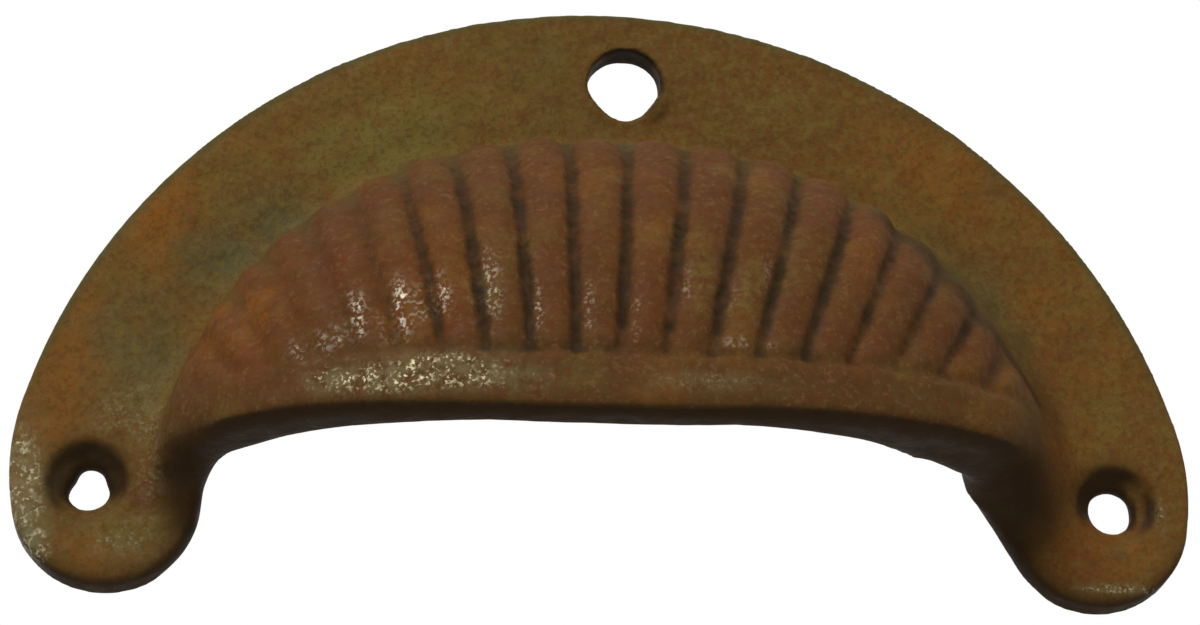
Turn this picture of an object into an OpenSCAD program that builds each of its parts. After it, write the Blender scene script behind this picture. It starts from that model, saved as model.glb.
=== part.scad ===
// Cup pull: a fan-fluted half cup standing on an arched back plate, cast in one piece.
// It is drawn lying on its back: X to the right, Y up the drawer front, Z out of it.
// The finished part is turned upright, so that Z is up and the cup faces -Y.
// The origin is midway between the two lower screw holes, on the back face.

/* [Back plate] */
// radius of the arch that bounds the plate at the top
arch_r = 49.6; // [48:0.2:53]
// depth of the arch's centre below the line of the lower screw holes
arch_drop = 5.9; // [4.9:0.1:6.9]
// thickness of the plate
plate_t = 3; // [2.6:0.1:3.8]
// rounding of the plate's front edge
edge_round = 0.6; // [0.4:0.1:1.4]
// radius of the arc that joins the arch to each lug
shoulder_r = 20; // [16:0.5:24]
// slope at which the arch passes into the joining arc, in degrees above level
shoulder_angle = 14.7; // [12:0.1:18]
// radius of the round lug about each lower screw hole
lug_r = 7.7; // [7:0.1:8.4]
// slope at which the joining arc passes into the lug, in degrees above level
lug_angle = -12; // [-16:0.5:-8]

/* [Screw holes] */
// distance of each lower screw hole outside the centre of its lug
screw_out = 1.58; // [0:0.02:3]
// diameter of the lower screw holes
screw_hole_d = 3.9; // [3:0.1:4.6]
// diameter of their countersinks at the plate's face
sink_d = 7.2; // [6:0.1:8]
// included angle of the countersinks, in degrees
sink_angle = 90; // [80:1:110]
// diameter of the top hole
top_hole_d = 6.7; // [5.6:0.1:7]
// distance from the crown of the arch down to the top hole's centre
top_hole_edge = 6.75; // [6:0.05:7.3]
// distance of the top hole to the right of the centre line
top_hole_offset = 1.75; // [-4:0.05:4]

/* [Cup] */
// width of the cup at the back of the plate
cup_width = 74.4; // [68:0.2:78]
// height of the cup above its mouth
cup_height = 30.9; // [28:0.1:31.5]
// projection of the cup from the back of the plate
cup_depth = 21.5; // [18:0.1:26]
// height of the mouth above the line of the lower screw holes
mouth_rise = 1.2; // [0.8:0.1:1.6]
// squareness of the cup seen from below: 2 is an ellipse, more is squarer
plan_power = 2.5; // [2:0.1:3.2]
// rounding of the outer edge of the lip
lip_round = 1.2; // [0.6:0.1:1.8]
// radius of the hollow curve at the foot of the cup
foot_fillet = 1.5; // [0.8:0.1:1.8]
// radius of the hollow curve under each end of the mouth
end_fillet = 4.2; // [2.4:0.1:4.6]

/* [Hollow] */
// thickness of the cup at the middle of the lip
lip_wall = 3.7; // [3:0.1:5]
// thickness of the cup at its top
top_wall = 4.2; // [3.2:0.1:6]
// thickness of the cup at each end of the mouth, where the hollow is centred
end_wall = 5.4; // [4.5:0.1:7]
// how far the hollow lies to the left of the centre line
core_shift = 1.1; // [0:0.1:1.8]
// how much the hollow's oval is cut back to make its flat front
core_flat = 0.9; // [0.4:0.1:2]

/* [Ribs] */
// number of ribs across the cup
rib_count = 17; // [9:2:17]
// depth of the grooves between the ribs
rib_depth = 1.1; // [0.6:0.1:1.6]
// fullness of a rib: 2 is a plain arc, more is flatter with narrower grooves
rib_power = 2.6; // [2:0.1:4]
// height above the plate over which each rib runs out into the foot
rib_end = 6.5; // [3:0.5:9]
// angle from one rib to the next along the plate, in degrees
foot_step = 8; // [6:0.1:9]
// distance from one rib to the next along the lip
lip_step = 3.25; // [2.8:0.05:3.7]
// how far the fan of ribs is turned to the left along the plate, in degrees
foot_turn = 1.9; // [0:0.1:3]
// how far the middle rib lies to the left at the lip
lip_shift = 2.6; // [0:0.1:3]
// height of the plain band below the ribs
band_h = 4.9; // [3:0.1:6]

/* [Hidden] */
$fn = 96;
iron = [0.40, 0.26, 0.13];
// length added wherever one solid has to run past another
over = 1;
// How far one arc of the plate's edge stands out of the last, so that the two meet at a slight crease.
arc_rise = 0.03;
// How far the web's edge runs inside the lug's, for the same reason.
web_inset = 0.05;
web_w = lug_r - web_inset;
// Width of the bar that the web is made of, as a share of the lug's radius: short of the screw hole.
web_share = 0.68;
web_bar = web_share * lug_r;
// depth to which the cup's skin is carried into the plate
bury = 0.4;
// How far a hollow curve runs into the faces that it joins, so that it crosses them.
dip = 0.08;
skin_z = plate_t - bury;
half_w = cup_width / 2;
hollow_half_w = half_w - end_wall;
// centres of the arch, of the right joining arc and of the right lug
arch_c = [0, -arch_drop];
shoulder_c = arch_c + (arch_r - shoulder_r + arc_rise) * heading(shoulder_angle);
lug_c = shoulder_c + (shoulder_r - lug_r + arc_rise) * heading(lug_angle);
screw_x = lug_c[0] + screw_out;
top_hole_y = arch_r - arch_drop - top_hole_edge;
reach = 2 * arch_r;

// Columns of the cup's skin: `rib_cols` across each rib, `end_cols` on the plain part at each end.
rib_cols = 8;
end_cols = 8;
half_ribs = rib_count / 2;
// Half width at which the skin's last column reaches the mouth, as a share of the cup's.
end_share = 0.985;
lip_end = end_share * half_w;
// Half width at which it leaves the plate.
foot_end = end_x(skin_z);
// Rows of the skin: `rib_rows` down the ribs, then the band and the rounded lip.
rib_rows = 15;
// How much closer together the rows lie at the plate: 1 is even.
row_power = 1.4;
round_rows = 3;
rows = rib_rows + 2 + round_rows;
// Steps in the outline of the hollow curve under each end of the mouth.
end_rows = 10;
// Height at which the last column reaches the mouth, and how fast that outline leans in above it.
lip_z = cup_z(lip_end, 0);
end_lean = 0.6;
// Largest shares of a column's height that the band and the rounded lip may take.
max_band = 0.5;
max_bend = 0.25;
// Share of the band's height at which the grooves have run out.
groove_end = 0.78;
// Depth of the grooves at the lip, as a share of their depth at the plate.
lip_depth = 0.65;
// Least height that a column is divided by.
tiny = 0.01;

function heading(angle) = [cos(angle), sin(angle)];

// Half width of the smooth cup at the mouth, at the height z.
function end_x(z) = half_w * pow(1 - pow(z / cup_depth, plan_power), 1 / plan_power);
// How far the hollow curve at the foot of the cup stands out at the height z.
function flare(z) =
    let (below = foot_fillet - max(0, z - plate_t + dip))
        below > 0 ? foot_fillet - sqrt(pow(foot_fillet, 2) - pow(below, 2)) : 0;

// Half width, at the height z, of the hollow curve under the end of the mouth.
function end_edge(z) = z < lip_z ? end_x(z) + flare(z) : lip_end - end_lean * (z - lip_z);
// Share of a rib that has run out at the height z, 1 on the plate.
function run_out(z) =
    let (rise = min(1, max(0, z - plate_t) / rib_end))
        1 - rise * rise * (3 - 2 * rise);

// Moves v to the left by `by` at the middle of a span, and not at all at its ends.
function shifted(v, by, end) = v - by * (1 - pow(v / end, 2));
// A column is [angle at which it leaves the plate, x at the mouth, share of the groove's depth, and
// how much of the rib it lies on is lost at the plate].
// It lies at `rib` ribs from the middle one, then at the share `end` of the plain part.
function column(rib, end, groove) = [
    shifted(rib * foot_step + end * (90 - half_ribs * foot_step), foot_turn, 90),
    shifted(rib * lip_step + end * (lip_end - half_ribs * lip_step), lip_shift, lip_end),
    groove,
    1 - abs(end)
];
// The columns lie closest together in the grooves, where a rib's edge is steep.
columns = concat(
    [for (k = [end_cols : -1 : 1]) column(-half_ribs, -k / end_cols, 0)],
    [
        for (k = [0 : rib_count * rib_cols])
            let (across = -cos(180 * (k % rib_cols) / rib_cols))
                column(floor(k / rib_cols) + (across + 1) / 2 - half_ribs, 0, pow(abs(across), rib_power))
    ],
    [for (k = [1 : end_cols]) column(half_ribs, k / end_cols, 0)]
);

// Height of the plate line of the cup above the mouth, at x.
function foot_y(x) =
    cup_height * sqrt(max(0, 1 - pow(
        pow(abs(x) / half_w, plan_power) + pow(skin_z / cup_depth, plan_power), 2 / plan_power)));
// How far the cup stands out at x, y: a squared oval in plan, an ellipse in height.
function cup_z(x, y) =
    cup_depth * pow(max(0, pow(1 - pow(y / cup_height, 2), plan_power / 2)
        - pow(abs(x) / half_w, plan_power)), 1 / plan_power);
// Outward direction of the smooth cup at a point on it.
function cup_normal(p) =
    let (
        n = plan_power,
        gx = sign(p[0]) * pow(abs(p[0]) / half_w, n - 1) / half_w,
        gy = pow(1 - pow(p[1] / cup_height, 2), n / 2 - 1) * p[1] / pow(cup_height, 2),
        gz = pow(p[2] / cup_depth, n - 1) / cup_depth,
        g = [gx, gy, gz]
    ) g / norm(g);

// Share of the height of a column, 1 at the plate and 0 at the mouth, for each row.
function row_share(row, band, bend) =
    row <= rib_rows ? cos(acos(band) * pow(row / rib_rows, row_power))
    : row == rib_rows + 1 ? groove_end * band
    : bend * (1 - sin(lip_turn(row)));
// How far the rounded lip has turned under at a row, in degrees.
function lip_turn(row) = 90 * max(0, row - rib_rows - 2) / round_rows;

// A point of the skin: on the smooth cup, set in by the groove or by the rounding of the lip,
// and set out by the hollow curve at the foot.
function skin_point(col, row) =
    let (
        foot_x = foot_end * sin(col[0]),
        tall = foot_y(foot_x),
        band = min(max_band, band_h / max(tall, tiny)),
        bend = min(max_bend, lip_round / max(tall, tiny)),
        share = row_share(row, band, bend),
        x = col[1] + (foot_x - col[1]) * share,
        y = tall * share,
        p = [x, y, cup_z(x, y)],
        cut = col[2] + (1 - col[2]) * col[3] * run_out(p[2]),
        groove = row <= rib_rows ? rib_depth * cut * (lip_depth + (1 - lip_depth) * share) : 0,
        inset = tall * bend * (1 - cos(lip_turn(row))),
        out = cup_normal(p),
        sideways = [out[0], out[1], 0] / norm([out[0], out[1]])
    ) p - (groove + inset) * out + flare(p[2]) * sideways + [0, mouth_rise, 0];

// The fluted cup as a solid, closed by its mouth and by a flat back inside the plate.
module cup_body() {
    last = len(columns) - 1;
    per = rows + 1;
    skin = [for (col = columns) for (row = [0 : rows]) skin_point(col, row)];
    hub = len(skin);
    points = concat(skin, [[0, mouth_rise, skin_z]]);
    sheet = [
        for (i = [0 : last - 1]) for (j = [0 : rows - 1])
            let (a = i * per + j, b = a + 1, c = a + per, d = c + 1)
                each [[a, d, b], [a, c, d]]
    ];
    rim = concat(
        [for (j = [0 : rows]) j],
        [for (i = [1 : last]) i * per + rows],
        [for (j = [rows - 1 : -1 : 0]) last * per + j]
    );
    mouth = [for (k = [0 : len(rim) - 2]) [rim[k], rim[k + 1], hub]];
    back = [for (i = [0 : last - 1]) [(i + 1) * per, i * per, hub]];
    polyhedron(points, concat(sheet, mouth, back), convexity = 6);
}

// The hollow curve under the right end of the mouth, the hollow's edge lying at hollow_x.
module end_curve(hollow_x) {
    top = plate_t + end_fillet;
    step = (top - skin_z) / end_rows;
    difference() {
        translate([0, mouth_rise + over, 0])
            rotate([90, 0, 0])
                linear_extrude(end_fillet + over)
                    polygon(concat(
                        [[hollow_x, top], [hollow_x, skin_z]],
                        [for (k = [0 : end_rows]) let (z = skin_z + k * step) [end_edge(z) - dip, z]]
                    ));
        translate([0, mouth_rise - end_fillet + dip, top - dip])
            rotate([0, 90, 0])
                cylinder(r = end_fillet, h = reach);
        translate([hollow_x, mouth_rise, 0])
            rotate(web_slope([hollow_x, mouth_rise]))
                translate([-reach, dip - reach, 0])
                    cube([2 * reach, reach, cup_depth]);
    }
}

// Half section of the plate, w wide, with its front edge rounded.
module edge_profile(w) {
    square([w, plate_t - edge_round]);
    square([w - edge_round, plate_t]);
    translate([w - edge_round, plate_t - edge_round])
        intersection() {
            circle(edge_round);
            square(2 * edge_round);
        }
}

module rounded_disc(r) {
    rotate_extrude()
        edge_profile(r);
}

// A tall prism over a polygon, to cut the discs with.
module over_area(points) {
    translate([0, 0, -over])
        linear_extrude(plate_t + 2 * over)
            polygon(points);
}

// Slope in degrees of the web's edge, from the hollow's corner down into the edge of the lug.
function web_slope(corner) =
    let (to_lug = lug_c - corner)
        atan2(to_lug[1], to_lug[0]) - asin(min(1, web_w / norm(to_lug)));

// A straight bar with a rounded front edge, from the hollow's corner down into the edge of the lug.
module web(corner) {
    far = norm(lug_c - corner);
    if (far > web_w + edge_round) {
        run = sqrt(far * far - web_w * web_w);
        translate(corner)
            rotate([90, 0, web_slope(corner) + 90])
                translate([web_bar, 0, -2 * over])
                    linear_extrude(run + 2 * over)
                        mirror([1, 0])
                            edge_profile(web_bar);
    }
}

// The joining arc, the lug, the web and the end curve of one side, the hollow's edge lying at hollow_x.
module right_end(hollow_x) {
    intersection() {
        translate(shoulder_c)
            rounded_disc(shoulder_r);
        over_area([
            shoulder_c - reach * heading(lug_angle),
            shoulder_c + reach * heading(lug_angle),
            shoulder_c + reach * heading(lug_angle) + [0, reach],
            shoulder_c - reach * heading(lug_angle) + [0, reach]
        ]);
    }
    translate(lug_c)
        rounded_disc(lug_r);
    web([hollow_x, mouth_rise]);
    end_curve(hollow_x);
}

module back_plate() {
    intersection() {
        translate(arch_c)
            rounded_disc(arch_r);
        over_area([
            arch_c,
            arch_c + reach * heading(shoulder_angle),
            [reach, reach],
            [-reach, reach],
            arch_c + reach * heading(180 - shoulder_angle)
        ]);
    }
    right_end(hollow_half_w - core_shift);
    mirror([1, 0, 0])
        right_end(hollow_half_w + core_shift);
}

// The finger hollow: an oval bowl with a flat front, open at the back of the plate and at the mouth.
module hollow() {
    sag = 1;
    front = cup_depth - lip_wall;
    intersection() {
        translate([-core_shift, mouth_rise - sag, 0])
            scale([hollow_half_w, cup_height - top_wall + sag, front + core_flat])
                sphere(1);
        translate([-reach, -reach, -reach])
            cube([2 * reach, 2 * reach, reach + front]);
    }
}

// A drilled hole, long enough to pass through all that stands on the plate.
module drilled(d) {
    translate([0, 0, -over])
        cylinder(d = d, h = cup_depth + 2 * over);
}

module screw_hole() {
    slope = tan(sink_angle / 2);
    sink_depth = (sink_d - screw_hole_d) / 2 / slope;
    drilled(screw_hole_d);
    translate([0, 0, plate_t - sink_depth])
        cylinder(d1 = screw_hole_d, d2 = sink_d + 2 * over * slope, h = sink_depth + over);
}

module top_hole() {
    translate([top_hole_offset, top_hole_y, 0])
        drilled(top_hole_d);
}

module cup_pull() {
    color(iron)
        rotate([90, 0, 0])
            difference() {
                union() {
                    back_plate();
                    cup_body();
                }
                hollow();
                for (side = [-1, 1])
                    translate([side * screw_x, 0, 0])
                        screw_hole();
                top_hole();
            }
}

cup_pull();
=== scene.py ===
# %% [markdown]
# A cup pull in rusty cast iron: a flat flange, a fluted cup to hook the fingers under, a screw hole in each
# lug and a plain hole at the top. The measured casting comes from the imported frame, and this lesson gives it
# the skin that years of rust and handling have left: soft cast edges, pits, crusted holes, dirt in the
# flutes and worn crests, with painted shade and highlights laid into its colours. First the frame is loaded.

# %% Load the casting
import math

import bpy
import numpy as np
from mathutils import Matrix, Vector


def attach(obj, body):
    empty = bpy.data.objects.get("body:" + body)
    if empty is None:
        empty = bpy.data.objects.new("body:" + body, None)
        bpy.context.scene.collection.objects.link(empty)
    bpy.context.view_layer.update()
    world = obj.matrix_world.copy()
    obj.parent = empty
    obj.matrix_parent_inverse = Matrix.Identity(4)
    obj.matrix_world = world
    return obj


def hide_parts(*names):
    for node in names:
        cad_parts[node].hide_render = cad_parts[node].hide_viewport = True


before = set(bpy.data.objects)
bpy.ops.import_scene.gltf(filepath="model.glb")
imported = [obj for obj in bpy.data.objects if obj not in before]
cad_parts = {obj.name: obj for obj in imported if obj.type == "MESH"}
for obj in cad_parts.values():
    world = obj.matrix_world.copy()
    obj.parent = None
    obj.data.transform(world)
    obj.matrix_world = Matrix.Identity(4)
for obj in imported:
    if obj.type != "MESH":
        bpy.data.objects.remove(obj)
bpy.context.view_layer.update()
MM = 0.001
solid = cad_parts["cup_pull"]

# %% [markdown]
# The camera stands a little to the left of the pull and well below it, so it looks up under the lip.
# An empty could carry it, but a matrix built from three plain angles says the same thing in one place
# and can't drift: the view is turned, raised and rolled about the point that it looks at.

# %% Camera
IMAGE_W = 1200
VIEW_TURN = math.radians(-5.25)
VIEW_RISE = math.radians(-21.47)
VIEW_ROLL = math.radians(-0.29)
VIEW_DISTANCE = 300 * MM
LOOK_AT = Vector((-0.29, 0.0, 17.07)) * MM
PIXELS_PER_MM = 11.845
SENSOR_W = 36.0

to_camera = Vector((
    math.sin(VIEW_TURN) * math.cos(VIEW_RISE),
    -math.cos(VIEW_TURN) * math.cos(VIEW_RISE),
    math.sin(VIEW_RISE),
))
level = Vector((math.cos(VIEW_TURN), math.sin(VIEW_TURN), 0.0))
upright = to_camera.cross(level)
right = level * math.cos(VIEW_ROLL) + upright * math.sin(VIEW_ROLL)
up = upright * math.cos(VIEW_ROLL) - level * math.sin(VIEW_ROLL)
camera_data = bpy.data.cameras.new("camera")
camera_data.sensor_fit = "HORIZONTAL"
camera_data.sensor_width = SENSOR_W
camera_data.lens = SENSOR_W * PIXELS_PER_MM * (VIEW_DISTANCE / MM) / IMAGE_W
camera_data.clip_start = 10 * MM
camera = bpy.data.objects.new("camera", camera_data)
turn = Matrix((right, up, to_camera)).transposed().to_4x4()
camera.matrix_world = Matrix.Translation(LOOK_AT + to_camera * VIEW_DISTANCE) @ turn
bpy.context.scene.collection.objects.link(camera)
bpy.context.scene.camera = camera
print("camera lens in mm:", round(camera_data.lens, 1))

# %% [markdown]
# The pull hangs as it would on a drawer front, clear of a pale floor that lies below the camera.
# A broad lamp up to the left does most of the work, as a window would, and makes the crests of the
# flutes glint. A weaker one from the front right keeps the far side from going black. The world is
# white to the eye and to reflections, and only a soft grey as a source of light.

# %% Floor, lamps and world
FLOOR_DROP = 260 * MM
FLOOR_SIDE = 4.0
bpy.ops.object.select_all(action="DESELECT")
bpy.ops.mesh.primitive_plane_add(size=FLOOR_SIDE, location=(0, 0, -FLOOR_DROP))
floor = bpy.context.active_object
floor.name = "floor"
floor_paint = bpy.data.materials.new("floor_paint")
floor_paint.use_nodes = True
floor_shader = floor_paint.node_tree.nodes["Principled BSDF"]
floor_shader.inputs["Base Color"].default_value = (0.78, 0.78, 0.77, 1)
floor_shader.inputs["Roughness"].default_value = 0.9
floor.data.materials.append(floor_paint)


def lamp(name, place, aim, side, watts):
    """A square soft lamp at a place, turned to face the aim."""
    data = bpy.data.lights.new(name, "AREA")
    data.size = side
    data.energy = watts
    made = bpy.data.objects.new(name, data)
    facing = (Vector(aim) - Vector(place)).to_track_quat("-Z", "Y")
    made.matrix_world = Matrix.Translation(place) @ facing.to_matrix().to_4x4()
    bpy.context.scene.collection.objects.link(made)
    return made


CENTRE = (0, 0, 18 * MM)
lamp("window", place=(-0.30, -0.45, 0.62), aim=CENTRE, side=0.35, watts=4.7)
lamp("fill", place=(0.50, -0.60, 0.20), aim=CENTRE, side=0.60, watts=0.8)

SKY_LOW, SKY_HIGH = 0.05, 0.60
world = bpy.data.worlds.new("studio")
bpy.context.scene.world = world
world.use_nodes = True
sky = world.node_tree
sky.nodes.clear()


def sky_node(kind, *inputs, **settings):
    """A node of the world, with outputs or values for its first sockets."""
    made = sky.nodes.new(kind)
    for key, value in settings.items():
        setattr(made, key, value)
    for socket, value in zip(made.inputs, inputs):
        if isinstance(value, bpy.types.NodeSocket):
            sky.links.new(value, socket)
        else:
            socket.default_value = value
    return made.outputs


rays = sky_node("ShaderNodeLightPath")
seen = sky_node("ShaderNodeMath", rays["Is Camera Ray"], rays["Is Glossy Ray"], operation="MAXIMUM")
seen = sky_node("ShaderNodeMath", seen[0], rays["Is Transmission Ray"], operation="MAXIMUM")
height = sky_node("ShaderNodeSeparateXYZ", sky_node("ShaderNodeTexCoord")["Generated"])["Z"]
soft = sky_node("ShaderNodeMapRange", height, -1.0, 1.0, SKY_LOW, SKY_HIGH)
glow = sky_node("ShaderNodeBackground", (1, 1, 1, 1), soft[0])
white = sky_node("ShaderNodeBackground", (1, 1, 1, 1), 1.0)
choice = sky_node("ShaderNodeMixShader", seen[0], glow[0], white[0])
sky_node("ShaderNodeOutputWorld", choice[0])
bpy.context.scene.view_settings.view_transform = "Standard"
print("stage made: floor", FLOOR_SIDE, "m, lamps", len(bpy.data.lights))

# %% [markdown]
# A sand casting has no sharp edges: the sand, the fettling and the rust round every corner.
# Bevels would need a clean edge net, which drilled and fluted iron doesn't have. So a copy of the
# casting is merged and remeshed into small even squares, a Shrinkwrap lays those back on the true form,
# and a little smoothing rounds the corners. The squares also give the pits, made later, something to move.

# %% Soft cast skin
VOXEL = 0.37 * MM
MERGE_WITHIN = 0.002 * MM
SOFTEN = 0.5
SOFTEN_STEPS = 3
bpy.ops.object.select_all(action="DESELECT")
casting = bpy.data.objects.new("casting", solid.data.copy())
bpy.context.scene.collection.objects.link(casting)
bpy.context.view_layer.objects.active = casting
casting.select_set(True)
bpy.ops.object.mode_set(mode="EDIT")
bpy.ops.mesh.select_all(action="SELECT")
bpy.ops.mesh.remove_doubles(threshold=MERGE_WITHIN)
bpy.ops.object.mode_set(mode="OBJECT")


def finish_modifier(name, kind, **settings):
    """Adds a modifier to the casting, sets it and applies it."""
    made = casting.modifiers.new(name, kind)
    for key, value in settings.items():
        setattr(made, key, value)
    bpy.ops.object.modifier_apply(modifier=name)


finish_modifier("even_net", "REMESH", mode="VOXEL", voxel_size=VOXEL, use_smooth_shade=True)
finish_modifier("true_form", "SHRINKWRAP", target=solid, wrap_method="NEAREST_SURFACEPOINT")
finish_modifier("soft_edges", "SMOOTH", factor=SOFTEN, iterations=SOFTEN_STEPS)
print("casting skin:", len(casting.data.polygons), "faces")

# %% [markdown]
# The finish depends on where a spot lies: on the flange, on the cup, deep in a flute, inside a hole or
# under the lip. Painting those areas by hand would take a brush and a steady eye. Here they are
# worked out from the points themselves. The first helper reads the points, and the second averages over
# the mesh, so that the difference tells how deep a point lies in a hollow. The ramp makes a soft border
# between two bounds, which are in mm where it reads a place.

# %% Points, normals and hollows
def read_skin():
    """Points in mm and normals of the casting as it is now."""
    count = len(casting.data.vertices)
    places = np.empty(count * 3)
    casting.data.vertices.foreach_get("co", places)
    facing = np.empty(count * 3, dtype=np.float32)
    casting.data.vertex_normals.foreach_get("vector", facing)
    return places.reshape(-1, 3) / MM, facing.reshape(-1, 3).astype(float)


points, normals = read_skin()
edges = np.empty(len(casting.data.edges) * 2, dtype=np.int64)
casting.data.edges.foreach_get("vertices", edges)
edges = edges.reshape(-1, 2)
ends = np.concatenate([edges[:, 0], edges[:, 1]])
others = np.concatenate([edges[:, 1], edges[:, 0]])
neighbours = np.bincount(ends, minlength=len(points))


def spread(values, steps):
    """Averages a value, or a set of points, over the mesh: more steps reach further."""
    columns = np.atleast_2d(values.T)
    for _ in range(steps):
        summed = [np.bincount(ends, weights=c[others], minlength=len(points)) for c in columns]
        columns = 0.5 * columns + 0.5 * np.array(summed) / neighbours
    return columns.T.reshape(values.shape)


def ramp(values, low, high):
    """0 below low, 1 above high, and a smooth rise between them."""
    share = np.clip((values - low) / (high - low), 0, 1)
    return share * share * (3 - 2 * share)


def depth_in_hollow(steps):
    """How far each point lies below the averaged surface, in mm."""
    return ((spread(points, steps) - points) * normals).sum(1)


print("deepest hollow in mm:", round(float(depth_in_hollow(steps=60).max()), 2))

# %% [markdown]
# The pull is shaped further in the places where the real one was worn, filed or badly filled. Each of
# those is a vertex group: a weight from 0 to 1 for every point, worked out from where the point lies.
# A sculpting brush has the same two strokes that are made here as helpers, one that smooths and one that
# pushes. The holes are left out of most groups, because screws have to pass through them as drawn.

# %% Groups and places
LEAST_WEIGHT = 0.02


def group(name, weights):
    """A vertex group with one weight per point."""
    made = casting.vertex_groups.new(name=name)
    for index in np.flatnonzero(weights > LEAST_WEIGHT):
        made.add([int(index)], float(weights[index]), "REPLACE")
    return name


def soften(name, weights, steps):
    """Smooths the points of a group: more steps reach further."""
    finish_modifier(name, "SMOOTH", factor=SOFTEN, iterations=steps, vertex_group=group(name, weights))


def push(name, weights, depth_mm, direction="NORMAL"):
    """Moves the points of a group outwards, or along an axis, by a depth in mm."""
    finish_modifier(
        name, "DISPLACE", direction=direction, strength=depth_mm * MM, mid_level=0.0,
        vertex_group=group(name, weights),
    )


x, y, z = points.T
out = -y
reach_x = np.abs(x)
screw_holes = [(-42.3, 0.0), (42.3, 0.0)]
top_hole = (1.75, 36.95)
off_holes = np.ones(len(points))
for hole_x, hole_z in screw_holes + [top_hole]:
    off_holes *= ramp(np.hypot(x - hole_x, z - hole_z), 3.8, 4.6)
off_sinks = np.ones(len(points))
for hole_x, hole_z in screw_holes:
    off_sinks *= ramp(np.hypot(x - hole_x, z - hole_z), 3.6, 3.9)
print("points clear of the holes:", int((off_holes > 0.5).sum()), "of", len(points))

# %% [markdown]
# On the real casting the cup flows into the flange in a small hollow curve, and its two ends run
# out over the lugs with no step at all. A fillet made in edit mode would need that crease as clean edges.
# A Smooth modifier does it on any net, as long as a vertex group keeps it to the crease: a crease is
# where the surface is hollow, close to the front of the flange.

# %% Fillets at the foot of the cup
hollow_depth = depth_in_hollow(steps=40)
crease = ramp(spread(ramp(hollow_depth, 0.05, 0.3), 6), 0.1, 0.6)
near_plate = ramp(out, 1.8, 2.8) * (1 - ramp(out, 5.0, 7.0))
foot = crease * near_plate * off_holes
cup_ends = ramp(reach_x, 31.5, 33.5) * (1 - ramp(reach_x, 38.4, 39.4)) * ramp(out, 2.7, 3.1) * off_sinks
cup_ends *= ramp(z, -4.6, -3.2) * (1 - ramp(z, 4, 7))
lip_edge = ramp(-hollow_depth, 0.1, 0.4) * (1 - ramp(z, 4, 6)) * ramp(out, 4, 6)
lip_edge *= 0.35 + 0.65 * ramp(x, 4, 26)
soften("foot", foot, steps=14)
soften("cup_ends", cup_ends, steps=80)
soften("lip_edge", lip_edge, steps=24)
print("fillet points:", int((foot > 0.5).sum()), "and", int((cup_ends > 0.5).sum()))

# %% [markdown]
# The lip of this pull sags by up to 0.7 mm, most in the middle, and the end walls of the hollow are a little
# thicker than the pattern, as happens when a core shifts in the mould. The right inner corner is filled.
# Proportional editing would do it by hand. Displace modifiers do the same from weights: down for the lip and
# the corner, inwards for the walls. Two Smooth modifiers then round the corners that the pushes leave.

# %% Lip and end walls
LIP_SAG = 0.72
LESS_AT_RIGHT, LESS_AT_LEFT = 0.26, 0.5
CORNER_FILL = 0.9
RIGHT_WALL, LEFT_WALL = 0.9, 0.6

faces_in = ramp(np.maximum(-normals[:, 0] * np.sign(x), -normals[:, 2]), 0.2, 0.6)
faces_middle = ramp(-normals[:, 0] * np.sign(x), 0.15, 0.5) * ramp(reach_x, 17, 27)
faces_middle *= 1 - ramp(reach_x, 32, 33.5)
end_walls = faces_middle * (1 - ramp(z, 5, 14)) * ramp(z, -1.5, 0.5)
lip_drop = LIP_SAG - LESS_AT_RIGHT * ramp(x, 2, 16) - LESS_AT_LEFT * ramp(-x, 10, 27)
lip_drop *= (1 - ramp(reach_x, 33.5, 37)) * ramp(out, 2.9, 4.5)
right_corner = np.exp(-((x - 28.2) / 2.4) ** 2 - ((out - 7.5) / 2.6) ** 2)
right_corner += 0.9 * np.exp(-((x - 29.6) / 1.8) ** 2 - ((out - 4.2) / 2.4) ** 2) * ramp(out, 0.5, 2.5)
lip_drop = np.minimum((lip_drop + CORNER_FILL * right_corner) * (1 - ramp(z, 1.5, 6.5)), 1.0)
push("lip_drop", lip_drop, depth_mm=-1.0, direction="Z")
push("right_wall", end_walls * (x > 0) * ramp(out, 0.5, 3.5), depth_mm=RIGHT_WALL)
push("left_wall", end_walls * (x < 0), depth_mm=LEFT_WALL, direction="X")
web_edges = ramp(reach_x, 26, 29) * (1 - ramp(reach_x, 36, 38)) * ramp(z, -8, -6) * (1 - ramp(z, 3, 6))
web_edges *= faces_in * (1 - ramp(out, 6, 9))
soften("web_edges", web_edges, steps=40)
inner_lip = faces_in * ramp(reach_x, 6, 12) * (1 - ramp(reach_x, 31, 33))
inner_lip *= (1 - ramp(z, 3, 6)) * ramp(out, 0.5, 2)
soften("inner_lip", inner_lip, steps=16)
print("lip lowered by up to", round(float(lip_drop.max()), 2), "mm")

# %% [markdown]
# At the sides the ribs don't end in clean scallops: on the left they are worn flat, and on the right the
# foot is built up and runs out over the flange. A sculpting brush would blend them. Smooth modifiers with
# soft groups do the same, after a push that gives the right foot its extra metal.

# %% Blended sides
FOOT_BUILD_UP = 1.5

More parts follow.
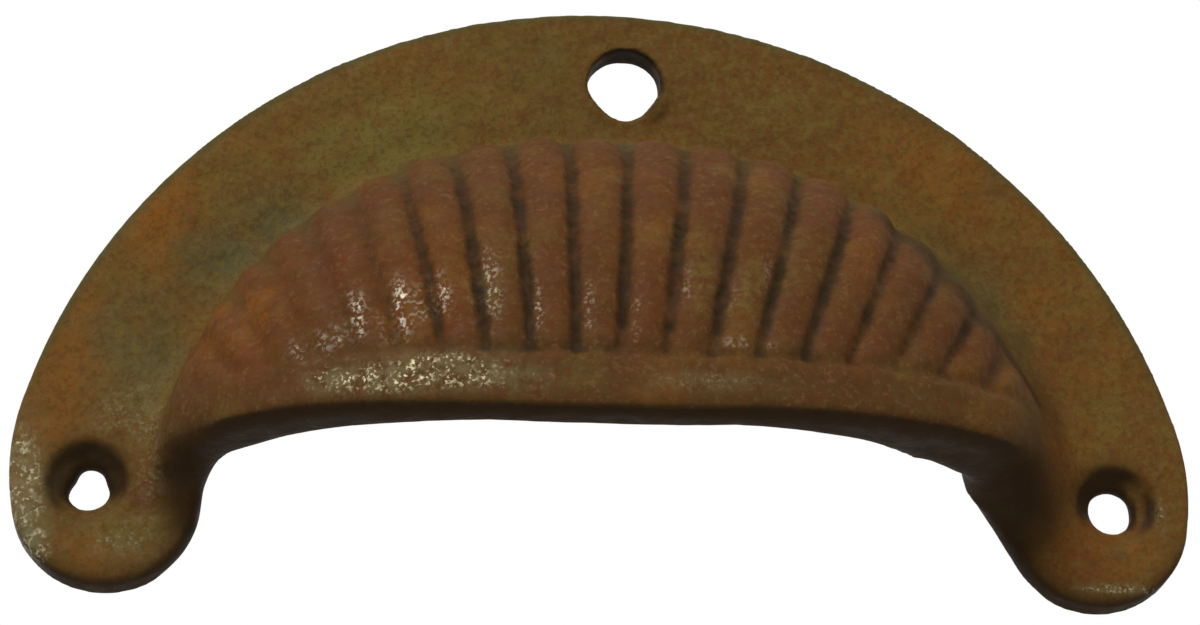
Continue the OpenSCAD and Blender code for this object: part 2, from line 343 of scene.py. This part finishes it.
by_cup = ramp(spread(ramp(out, 3.4, 3.8), 60), 0.03, 0.5) * (1 - ramp(out, 5, 7)) * ramp(out, 2.7, 2.9)
right_foot = by_cup * ramp(x, 18, 32) * ramp(z, -3, 0) * off_sinks
push("right_foot", right_foot, depth_mm=-FOOT_BUILD_UP, direction="Y")
right_side = ramp(x, 22, 31) * (1 - ramp(x, 39.5, 40.5)) * ramp(z, -4, -2) * ramp(out, 2.8, 3.1) * off_sinks
right_side *= (1 - ramp(out, 9, 12)) * (1 - ramp(z, 18, 22))
soften("right_side", right_side, steps=220)
left_side = ramp(-x, 9, 17) * (1 - ramp(reach_x, 39.5, 40.5)) * ramp(z, 3, 6) * ramp(out, 2.8, 3.1)
left_side *= 1 - ramp(out, 8, 12)
soften("left_side", left_side, steps=60)
rib_tops = ramp(out, 3.0, 4.0) * (1 - ramp(out, 7, 11)) * ramp(z, 8, 12)
soften("rib_tops", rib_tops, steps=18)
worn_ribs = ramp(-x, 15, 27) * ramp(out, 4, 6) * ramp(z, 2, 4)
soften("worn_ribs", worn_ribs, steps=16)
points, normals = read_skin()
print("blended points:", int((right_side > 0.5).sum()), "right and", int((left_side > 0.5).sum()), "left")

# %% [markdown]
# The ribs stop short of the band above the lip, and a shallow crease parts the two. A chisel stroke
# along each rib would do, but a Displace modifier with a group needs only the height at which the crease
# lies. It is cut straight in along the normals, deepest to the right, where the pull is least worn.
# The valley round the rib ends on the right is cut the same way, along a path of corners.

# %% Crease above the band
BAND_TOP = 5.8
CREASE_REACH = 0.55
VALLEY_REACH = 0.8
CREASE_DEPTH = 0.25
VALLEY = [
    (22.5, 21.5), (24.5, 19.5), (26.3, 17.3), (28.0, 15.0), (29.5, 13.0),
    (31, 11.5), (32.5, 10.2), (34.4, 8.6), (36.0, 7.4),
]


def along(path, wide):
    """1 on a path of (x, z) corners seen from the front, and less with the distance from it."""
    away = np.full(len(points), np.inf)
    for (x0, z0), (x1, z1) in zip(path, path[1:]):
        share = ((x - x0) * (x1 - x0) + (z - z0) * (z1 - z0)) / ((x1 - x0) ** 2 + (z1 - z0) ** 2)
        share = np.clip(share, 0, 1)
        away = np.minimum(away, np.hypot(x - x0 - share * (x1 - x0), z - z0 - share * (z1 - z0)))
    return np.exp(-(away / wide) ** 2)


x, y, z = points.T
on_front = ramp(-y, 9, 12) * ramp(-normals[:, 1], 0.2, 0.5)
on_crests = 1 - 0.65 * ramp(depth_in_hollow(steps=24), -0.02, 0.06)
parting = np.exp(-((z - BAND_TOP) / CREASE_REACH) ** 2) * on_front
parting *= (0.35 + 0.65 * ramp(x, -24, -8)) * (1 - ramp(x, 33, 35))
at_rib_ends = along(VALLEY, VALLEY_REACH) * ramp(-y, 4, 6) * ramp(-normals[:, 1], 0.0, 0.3)
parting = np.maximum(parting, at_rib_ends) * on_crests
push("parting", parting, depth_mm=-CREASE_DEPTH)
points, normals = read_skin()
print("crease points:", int((parting > 0.5).sum()))

# %% [markdown]
# Rust has narrowed the holes. The top one is pinched below to a rounded triangle, and the left screw hole
# has lost more than the right one. Loose lumps could be modelled and joined on. But each crust is only a push
# along the normals of the hole's wall, most at the headings where the rust sits, so a Displace modifier
# with a group does it.

# %% Rust crusts in the holes
TOP_HOLE_R = 3.35
SCREW_HOLE_R = 1.95


def crust(name, centre, wall_r, lumps):
    """Narrows a hole: lumps are (heading in degrees, spread in degrees, thickness in mm)."""
    across, rise = points[:, 0] - centre[0], points[:, 2] - centre[1]
    heading = np.degrees(np.arctan2(rise, across))
    thick = np.zeros(len(points))
    for lump_heading, lump_spread, lump_mm in lumps:
        away = (heading - lump_heading + 180) % 360 - 180
        thick += lump_mm * np.exp(-(away / lump_spread) ** 2)
    on_wall = (1 - ramp(np.hypot(across, rise), wall_r + 0.15, wall_r + 0.8)) * ramp(-points[:, 1], 0.05, 0.4)
    push(name, on_wall * thick, depth_mm=1.0)


crust("top_crust", top_hole, TOP_HOLE_R, [(180, 40, 0.08), (222, 26, 0.27), (318, 30, 0.4), (0, 40, 0.3)])
crust("left_crust", screw_holes[0], SCREW_HOLE_R, [(152, 50, 0.8), (18, 30, 0.35), (70, 30, 0.15)])
crust("right_crust", screw_holes[1], SCREW_HOLE_R, [(5, 45, 0.3), (85, 45, 0.12)])
points, normals = read_skin()
x, y, z = points.T
print("crusts made in", len(screw_holes) + 1, "holes")

# %% [markdown]
# Sand leaves a grain, and rust eats pits. Three Displace modifiers do this: one for the slow waves of a
# hand-rammed mould, one for the grain of the sand, and one for pits, which mostly cut in. The back lies
# against the drawer and stays flat, so a group keeps them to the exposed side.

# %% Cast grain and pits
faces_out = ramp(spread(np.maximum(-normals[:, 1], 0), 4), 0.3, 0.8)
smooth_below = 1 - 0.8 * ramp(-normals[:, 2], 0.2, 0.6) * ramp(-y, 3.5, 5)
exposed = group("exposed", np.maximum(faces_out, ramp(-y, 3.5, 5)) * ramp(-y, 0.2, 1.2) * smooth_below)


def rough(name, size_mm, depth_mm, middle, contrast):
    """A bumpy layer pressed into the skin from a cloud texture of the given size."""
    cloud = bpy.data.textures.new(name, "CLOUDS")
    cloud.noise_scale = size_mm * MM
    cloud.noise_depth = 2
    cloud.contrast = contrast
    finish_modifier(
        name, "DISPLACE", texture=cloud, texture_coords="LOCAL", strength=depth_mm * MM,
        mid_level=middle, vertex_group=exposed,
    )


rough("mould_waves", size_mm=9.0, depth_mm=0.12, middle=0.5, contrast=1.0)
rough("sand_grain", size_mm=1.2, depth_mm=0.07, middle=0.5, contrast=1.2)
rough("rust_pits", size_mm=2.0, depth_mm=0.14, middle=0.75, contrast=2.5)
bpy.ops.object.shade_smooth()
print("skin roughened in 3 layers")

# %% [markdown]
# Now the areas that the colours need. Each is a share from 0 to 1 at every point, stored on the mesh
# as an attribute. Flutes hold dirt and crests lose it. What faces down, the inner edges of the lugs,
# the hollow of the cup and the holes get painted shade, almost black. Stains are soft spots with a
# centre and a reach in mm, seen from the front.

# %% Areas of the casting
def keep(name, values):
    """Stores one value per point under a name that the material can read."""
    layer = casting.data.attributes.new(name, "FLOAT", "POINT")
    layer.data.foreach_set("value", np.ascontiguousarray(np.clip(values, 0, 1), dtype=np.float32))
    print("area", name, "covers", round(100 * float(np.mean(np.clip(values, 0, 1))), 1), "%")


HOLLOW_CENTRE = np.array([-1.1, -4.0, 5.0])
to_centre = HOLLOW_CENTRE - points
to_centre /= np.linalg.norm(to_centre, axis=1)[:, None]
in_hollow = ramp((normals * to_centre).sum(1), 0.0, 0.3) * (np.abs(x) < 36) * (z < 29) * (-y > 0.3)
front = ramp(-normals[:, 1], -0.2, 0.3)
valley_x, valley_z = np.array(VALLEY).T
past_valley = ramp(z - np.interp(x, valley_x, valley_z), 0.2, 1.4) * ramp(x, 19, 23)
on_cup = ramp(-y, 3.3, 4.8) * (1 - in_hollow) * (1 - 0.8 * past_valley)
in_hole = 1 - ramp(np.hypot(x - top_hole[0], z - top_hole[1]), 3.0, 3.6)
for hole_x, hole_z in screw_holes:
    in_hole = np.maximum(in_hole, 1 - ramp(np.hypot(x - hole_x, z - hole_z), 3.0, 3.7))
in_hole *= 1 - 0.6 * ramp(-normals[:, 0], 0.1, 0.5) * (x > 30)
# painted shade on what faces down and on the inner edges of the lugs, away from the light
facing_down = ramp(-normals[:, 2], 0.3, 0.65)
on_lugs = ramp(np.abs(x), 33, 36) * (1 - ramp(z, -2, 0)) * (1 - ramp(-y, 3.1, 3.4))
facing_down = np.maximum(facing_down, ramp(-normals[:, 2], 0.12, 0.45) * on_lugs)
edge_in = ramp(-normals[:, 0] * np.sign(x), 0.3, 0.7) * ramp(np.abs(x), 28, 31)
edge_in *= (1 - ramp(z, 0, 3)) * (-y < 3.2)
facing_down = np.maximum(facing_down, edge_in)
facing_up = ramp(normals[:, 2], 0.05, 0.5)
keep("cup", on_cup)
# painted shade, almost black: the hollow of the cup, the holes and undersides
painted_shade = np.maximum(np.maximum(in_hollow, in_hole * (1 - 0.8 * facing_up)), facing_down)
at_ends = ramp(np.abs(x), 31, 34) * (1 - ramp(z, 5, 8)) * ramp(-y, 2.5, 3.0)
keep("painted_shade", painted_shade + (spread(painted_shade, 40) - painted_shade) * at_ends)

# %% [markdown]
# Dirt lies in the flutes, thickest low down in the middle, and it is worn away on the left. Where the flutes
# meet the flange they hold old green lacquer instead. The valley on the right gets painted shade, the plain
# band above the lip a tint and painted shade, and the outer edge of the flange a tone of its own, so each
# is kept as an area too.

# %% Flutes, shaded valley, shaded band and rim
on_ribs = on_cup * ramp(-y, 4.5, 6.5) * front
flute_depth = depth_in_hollow(steps=24) - 0.05 * (1 - ramp(z, 5.5, 8.0))
print("flute depth in mm:", np.round(np.percentile(flute_depth[on_ribs > 0.5], [5, 50, 80, 90, 95, 99]), 3))
worn_flutes = 0.75 + 0.25 * np.exp(-((x + 2) / 22) ** 2 - ((z - 9) / 9) ** 2)
worn_flutes *= (0.3 + 0.7 * ramp(-y, 6.5, 15.5)) * (1 - 0.75 * ramp(-x, 11, 24))
worn_flutes *= 1 - 0.55 * ramp(x, 14, 21) * (1 - ramp(z, 7, 11))
flute = spread(ramp(flute_depth, -0.1, 0.1) * on_ribs, 3)
keep("flute", flute * worn_flutes)
keep("flute_floor", 0.8 * spread(ramp(flute_depth, 0.05, 0.15) * on_ribs, 1) * worn_flutes)
keep("flute_top", flute * (1 - ramp(-y, 8, 14)) * ramp(z, 10, 14))
crest = ramp(-flute_depth, 0.0, 0.05) * on_ribs
# painted shade along the valley round the ends of the ribs on the right
valley_shade_path = [(at_x + 0.4, at_z + 0.4) for at_x, at_z in VALLEY]
keep("valley_shade", along(valley_shade_path, 1.4) * ramp(-y, 3.5, 5.5) * front)
# the band above the lip: a teal tint, and painted shade because it faces down
keep("band", on_cup * front * (1 - ramp(z, 5.5, 8)))
ARCH_CENTRE = -5.9
outer_edge = ramp(np.hypot(x, z - ARCH_CENTRE), 48.5, 49.3) * ramp(z, 6, 14)
upper_edge = ramp(normals[:, 2], 0.3, 0.7) * ramp(-y, 1.0, 2.2)
keep("rim", np.maximum(upper_edge, outer_edge) * (1 - on_cup) * (1 - in_hole))

# %% [markdown]
# Stains follow no rule of form: they sit where damp stood, where lacquer was left, where fingers rubbed.
# A painted mask would hold them, but a short list says the same: each spot has a centre and a reach in mm,
# seen from the front, and a strength. Worn spots keep mostly to the crests of the ribs, and also paint the
# glints there. The shade spots are painted shade and a painted shadow: under both ends of the cup, in
# creases and along the foot of the cup on the right, with one broad spot that darkens the top of the
# flange. Some cream spots paint highlights on the band and along the bottom edge of the right lug.

# %% Stains, wear, painted shade and painted highlights
def stain(name, spots, where=1.0):
    """Soft spots, each (x, z, reach across, reach up, strength), kept as an area."""
    shade = np.zeros(len(points))
    for spot_x, spot_z, wide, tall, strength in spots:
        shade += strength * np.exp(-((x - spot_x) / wide) ** 2 - ((z - spot_z) / tall) ** 2)
    keep(name, shade * where * front)


flange = 1 - on_cup
stain("olive", [
    (-17.5, 32, 6, 4, 1.0), (-23, 29, 5, 3.5, 0.8), (-7, 38, 9, 4, 0.4),
    (-37.5, 9, 4, 5, 0.6), (-39, -4, 3, 3, 0.6),
], flange)
stain("teal", [
    (-32, 19.5, 4.5, 3, 1.0), (-27, 23.5, 4, 2.5, 0.9), (-40.5, 12, 4, 5, 0.6),
    (32, 18, 2, 3, 0.8), (34.5, 13, 1.8, 3, 0.7), (-36, 11, 3, 4, 0.5),
], flange)
stain("orange", [
    (-37, 22.5, 3.5, 5, 1.0), (-43.5, 13, 2.5, 6, 0.9), (-45, 6, 2.5, 5, 0.6), (-42, -6.5, 3, 1.6, 0.9),
    (-29, 31, 4, 2, 0.5), (30, 29, 10, 6, 0.5), (40, 14, 6, 9, 0.4), (-30, 11, 4, 5, 0.8),
    (41, -3, 6, 5, 0.85),
])
stain("rib_olive", [
    (6, 13, 1.4, 3, 0.5), (10, 11.3, 1.2, 3, 0.6), (-10.9, 10.7, 1.5, 3, 0.5), (13.5, 17, 1.2, 3, 0.4),
])
# painted shade and a painted shadow under both ends of the cup, in creases and along the right foot
stain("shade", [
    (27.5, 23.7, 1.6, 1.4, 0.3), (30, 20.5, 1.7, 1.8, 0.4), (32.5, 17, 1.6, 2, 0.45),
    (34.6, 13.3, 1.5, 2.2, 0.45), (36, 9.5, 1.3, 2.2, 0.4), (34.6, 8.6, 1.6, 2.6, 0.35),
    (37.4, 7.5, 1.2, 2.6, 0.4), (-35.4, -1.2, 1.6, 2.0, 0.9), (-34.4, -3.2, 1.2, 1.6, 0.7),
    (-2, 38, 9, 4, 0.2), (-15.2, 28.4, 2.2, 0.7, 0.6), (-26, 21.5, 2.0, 0.9, 0.5), (35, 1, 4, 4, 0.7),
    (35.2, -2.4, 2.4, 2.0, 0.9), (34.2, -5, 1.6, 2.2, 0.6),
])
stain("red", [
    (-22.5, 14, 1.6, 3, 0.9), (-19.5, 14.5, 1.6, 3, 0.8), (-16, 13, 1.5, 3.5, 0.8), (-13.7, 8, 2.5, 3, 0.7),
    (-31, 6.5, 4, 2.5, 0.7), (-5, 7, 2, 3, 0.6), (0, 8, 2, 4, 0.5), (3.5, 11, 1.2, 5, 0.6),
    (17, 6, 3, 2, 0.6), (-37.5, -1, 2, 2.5, 0.9), (39, -5, 2.5, 1.5, 0.6), (38, 12, 4, 3, 0.4),
    (-26, 4, 4, 2, 0.5),
])
# worn spots on the crests, which also paint the glints on the left ribs
stain("worn_and_glint", [
    (-18.0, 8.9, 1.2, 3.2, 1.0), (-21.5, 8.6, 1.2, 3.0, 0.95), (-24.7, 6.8, 1.6, 1.6, 0.75),
    (-15.0, 10.3, 1.3, 2.6, 0.8), (-11.0, 11.0, 1.5, 4.5, 0.6), (-7.2, 9.0, 0.7, 3.5, 0.6),
    (-3.0, 9.5, 0.6, 3.0, 0.55), (0.6, 8.5, 0.6, 3.0, 0.5), (4.6, 12, 1.0, 3, 0.4), (8.2, 11, 1.0, 3.0, 0.35),
    (11.5, 13, 0.8, 2.5, 0.35), (9.5, 6.6, 2.5, 0.7, 0.5),
], 0.35 + 0.65 * crest)
stain("pale_edge", [(-47.4, -2.5, 1.8, 5.5, 1.0)])
# pale crust on the left lug and band, and painted highlights on the band and the bottom edge of the right lug
stain("cream_and_highlight", [
    (-14.5, 3.8, 4.5, 1.4, 1.3), (-23.2, 3.5, 1.8, 1.0, 0.9), (-19.0, 3.2, 3.0, 1.0, 1.0),
    (-8.5, 3.2, 3.0, 1.0, 0.5), (-47.8, -2.5, 1.5, 5.0, 2.4), (-46.2, -6.0, 1.2, 1.8, 0.8),
    (-40, -5, 3, 1.6, 0.45), (-37.3, 0.5, 1.5, 5, 0.35), (-37.5, 8, 3, 4, 0.25),
    (-41, 5.5, 3, 2.5, 0.25), (6, 3.2, 6, 1.0, 0.4), (46.0, -0.5, 0.5, 1.6, 0.6),
    (42.2, -7.2, 3.2, 0.35, 0.9), (42, -3.5, 4, 3, 0.12),
])

# %% [markdown]
# Rust isn't one colour. The ground is brown, with orange where it is fresh and olive or grey-green where
# old lacquer survives. A few small helpers keep the node tree readable: grain makes a noise with a size in
# mm, area reads what was stored on the mesh, and coat lays one colour over another by a share.

# %% Helpers for the rust
rust = bpy.data.materials.new("rusty_iron")
rust.use_nodes = True
tree = rust.node_tree
shader = tree.nodes["Principled BSDF"]
place = tree.nodes.new("ShaderNodeTexCoord").outputs["Object"]
COLOUR_BELOW, COLOUR_ABOVE, COLOUR_OUT = 6, 7, 2


def plug(socket, value):
    """Links an output to a socket, or sets the socket to a plain value."""
    if isinstance(value, bpy.types.NodeSocket):
        tree.links.new(value, socket)
    else:
        socket.default_value = value


def area(name):
    """The share that was stored on the mesh under a name."""
    made = tree.nodes.new("ShaderNodeAttribute")
    made.attribute_name = name
    return made.outputs["Fac"]


def between(value, low, high):
    """A smooth rise from 0 at low to 1 at high."""
    made = tree.nodes.new("ShaderNodeMapRange")
    made.interpolation_type = "SMOOTHSTEP"
    plug(made.inputs["Value"], value)
    plug(made.inputs["From Min"], low)
    plug(made.inputs["From Max"], high)
    return made.outputs["Result"]


def grain(size_mm, detail=3.0, roughness=0.6):
    """Noise whose lumps are about size_mm across."""
    made = tree.nodes.new("ShaderNodeTexNoise")
    plug(made.inputs["Vector"], place)
    made.inputs["Scale"].default_value = 1 / (size_mm * MM)
    made.inputs["Detail"].default_value = detail
    made.inputs["Roughness"].default_value = roughness
    return made.outputs["Fac"]


def sums(kind, first, second):
    """Two values joined by a Math node, such as MULTIPLY, ADD or MAXIMUM."""
    made = tree.nodes.new("ShaderNodeMath")
    made.operation = kind
    plug(made.inputs[0], first)
    plug(made.inputs[1], second)
    return made.outputs[0]


def coat(below, above, share):
    """The colour above laid over the colour below by a share."""
    made = tree.nodes.new("ShaderNodeMix")
    made.data_type = "RGBA"
    plug(made.inputs["Factor"], share)
    plug(made.inputs[COLOUR_BELOW], below)
    plug(made.inputs[COLOUR_ABOVE], above)
    return made.outputs[COLOUR_OUT]


print("material begun:", rust.name)


# %% [markdown]
# The colours go on in this order: brown ground with a tint and painted shade on the band, orange bloom,
# remains of olive and grey-green lacquer, red on the cup, then grain, then the dirt in the flutes, then
# painted shade in the valley and under the ends of the cup, and last painted shade, almost black, in the
# hollow, the holes and on undersides. Each layer is broken up by a noise of its own size, because no
# stain on rusty iron has an even edge.

# %% Layers of rust and painted shade
BROWN = (0.117, 0.053, 0.011, 1)
DEEP_BROWN = (0.072, 0.032, 0.007, 1)
ORANGE = (0.190, 0.064, 0.006, 1)
OLIVE = (0.132, 0.098, 0.020, 1)
TEAL = (0.082, 0.070, 0.024, 1)
RED_BROWN = (0.089, 0.031, 0.008, 1)
RED = (0.110, 0.028, 0.008, 1)
PALE_BROWN = (0.18, 0.095, 0.035, 1)
DIRT_AND_SHADE = (0.034, 0.018, 0.004, 1)
SOOT_AND_SHADE = (0.018, 0.009, 0.003, 1)
RIM_GREEN = (0.055, 0.052, 0.014, 1)

ground = coat(BROWN, RED_BROWN, area("cup"))
ground = coat(ground, TEAL, sums("MULTIPLY", area("band"), 0.3))
# painted shade: the band above the lip is darkened as if the light from above missed it
ground = coat(ground, DEEP_BROWN, sums("MULTIPLY", area("band"), 0.75))
ground = coat(ground, ORANGE, sums("MULTIPLY", between(grain(11), 0.5, 0.72), 0.4))
off_cup = sums("SUBTRACT", 0.4, sums("MULTIPLY", area("cup"), 0.15))
ground = coat(ground, OLIVE, sums("MULTIPLY", between(grain(5, 4.0), 0.48, 0.68), off_cup))
ground = coat(ground, DEEP_BROWN, sums("MULTIPLY", between(grain(3, 4.0), 0.5, 0.75), 0.4))
ground = coat(ground, ORANGE, sums("MULTIPLY", area("orange"), between(grain(4), 0.3, 0.6)))
ground = coat(ground, OLIVE, sums("MULTIPLY", area("olive"), between(grain(3.2), 0.3, 0.6)))
ground = coat(ground, TEAL, sums("MULTIPLY", area("teal"), between(grain(3), 0.25, 0.55)))
ground = coat(ground, OLIVE, sums("MULTIPLY", area("rib_olive"), between(grain(1.4), 0.3, 0.6)))
ground = coat(ground, RED, sums("MULTIPLY", area("red"), between(grain(2.2), 0.3, 0.6)))
old_coat = sums("SUBTRACT", 0.55, sums("MULTIPLY", area("cup"), 0.4))
old_coat = sums("SUBTRACT", old_coat, sums("MULTIPLY", area("orange"), 0.35))
ground = coat(ground, OLIVE, sums("MULTIPLY", between(grain(0.7, 4.0, 0.7), 0.44, 0.62), old_coat))
ground = coat(ground, DEEP_BROWN, sums("MULTIPLY", between(grain(0.45, 3.0, 0.7), 0.46, 0.66), 0.5))
ground = coat(ground, RIM_GREEN, sums("MULTIPLY", area("rim"), 0.7))
cup_grain = sums("MULTIPLY", between(grain(0.9, 3.0, 0.7), 0.5, 0.66), 0.4)
ground = coat(ground, RED, sums("MULTIPLY", cup_grain, area("cup")))
pale_grain = sums("MULTIPLY", between(grain(0.6, 3.0, 0.7), 0.54, 0.68), 0.35)
ground = coat(ground, PALE_BROWN, sums("MULTIPLY", pale_grain, area("cup")))
patchy = between(grain(2.4, 3.0), 0.15, 0.6)
ragged = sums("MULTIPLY", sums("SUBTRACT", grain(1.1, 3.0), 0.5), 1.2)
dirty = between(sums("ADD", area("flute"), ragged), 0.15, 1.0)
ground = coat(ground, RIM_GREEN, sums("MULTIPLY", area("flute_top"), 0.6))
dirty = sums("MULTIPLY", dirty, patchy)
ground = coat(ground, DIRT_AND_SHADE, sums("MULTIPLY", dirty, between(area("flute"), 0.0, 0.2)))
ground = coat(ground, SOOT_AND_SHADE, sums("MULTIPLY", area("flute_floor"), patchy))
# painted shade from the shade spots and the valley, in the dirt colour
ground = coat(ground, DIRT_AND_SHADE, sums("MULTIPLY", sums("MAXIMUM", area("shade"), area("valley_shade")), 0.8))
# painted shade, almost black, in the hollow, the holes and on undersides
ground = coat(ground, SOOT_AND_SHADE, sums("MULTIPLY", area("painted_shade"), 0.92))
print("coats of colour:", sum(node.type == "MIX" for node in tree.nodes))

# %% [markdown]
# Last come the pale specks, where rubbing has bared the metal or dry crust clings. On the crests of the
# left ribs they also paint glints, and on the band and the bottom edge of the right lug highlights. They
# are smoother and a little metallic, while the rust around them is dull. A bump gives the finest grain,
# below the size of the net, and the finished skin then takes the place of the plain solid.

# %% Worn specks and painted glints, roughness and bump
PALE_AND_GLINT = (0.46, 0.42, 0.33, 1)
CREAM_AND_HIGHLIGHT = (0.35, 0.315, 0.19, 1)
DUST = (0.20, 0.172, 0.085, 1)
BUMP_STRENGTH = 0.5
BUMP_DEPTH = 0.12 * MM


def specks(name, size_mm, low, high):
    """Fine grains, in clusters, where an area is worn or carries painted highlights."""
    fine = between(grain(size_mm, 2.0, 0.6), low, high)
    cluster = between(grain(size_mm * 4, 2.0), 0.35, 0.6)
    return sums("MULTIPLY", sums("MULTIPLY", fine, cluster), between(area(name), 0.1, 0.9))


bare_and_glint = specks("worn_and_glint", size_mm=0.36, low=0.46, high=0.62)
chips_and_highlight = specks("cream_and_highlight", size_mm=0.32, low=0.50, high=0.63)
# bared metal and painted glints on the worn spots
ground = coat(ground, PALE_AND_GLINT, sums("MULTIPLY", bare_and_glint, 0.9))
dusty = sums("MULTIPLY", between(grain(1.1, 3.0), 0.36, 0.6), 0.45)
ground = coat(ground, DUST, sums("MULTIPLY", area("cream_and_highlight"), dusty))
ground = coat(ground, DUST, sums("MULTIPLY", area("pale_edge"), 0.4))
# pale crust and painted highlights from the cream spots
ground = coat(ground, CREAM_AND_HIGHLIGHT, sums("MULTIPLY", chips_and_highlight, 0.9))
bare_and_glint = sums("MAXIMUM", bare_and_glint, chips_and_highlight)
plug(shader.inputs["Base Color"], ground)
plug(shader.inputs["Metallic"], sums("MULTIPLY", bare_and_glint, 0.5))
dullness = between(grain(1.6), -0.9, 1.4)
plug(shader.inputs["Roughness"], sums("SUBTRACT", dullness, sums("MULTIPLY", bare_and_glint, 0.3)))
shader.inputs["Specular IOR Level"].default_value = 0.07
bump = tree.nodes.new("ShaderNodeBump")
bump.inputs["Strength"].default_value = BUMP_STRENGTH
bump.inputs["Distance"].default_value = BUMP_DEPTH
plug(bump.inputs["Height"], sums("ADD", grain(0.45, 4.0, 0.7), sums("MULTIPLY", grain(1.8), 0.8)))
tree.links.new(bump.outputs["Normal"], shader.inputs["Normal"])
casting.data.materials.clear()
casting.data.materials.append(rust)
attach(casting, "root")
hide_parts("cup_pull")
print("rust layers:", len(tree.nodes), "nodes")

# %% [markdown]
# The pull hangs by its own screws, so nothing else is needed to hold it. The numbers of points and
# faces of the finished skin are printed.

# %% Sizes and finish
print("finished skin:", len(casting.data.vertices), "points,", len(casting.data.polygons), "faces")
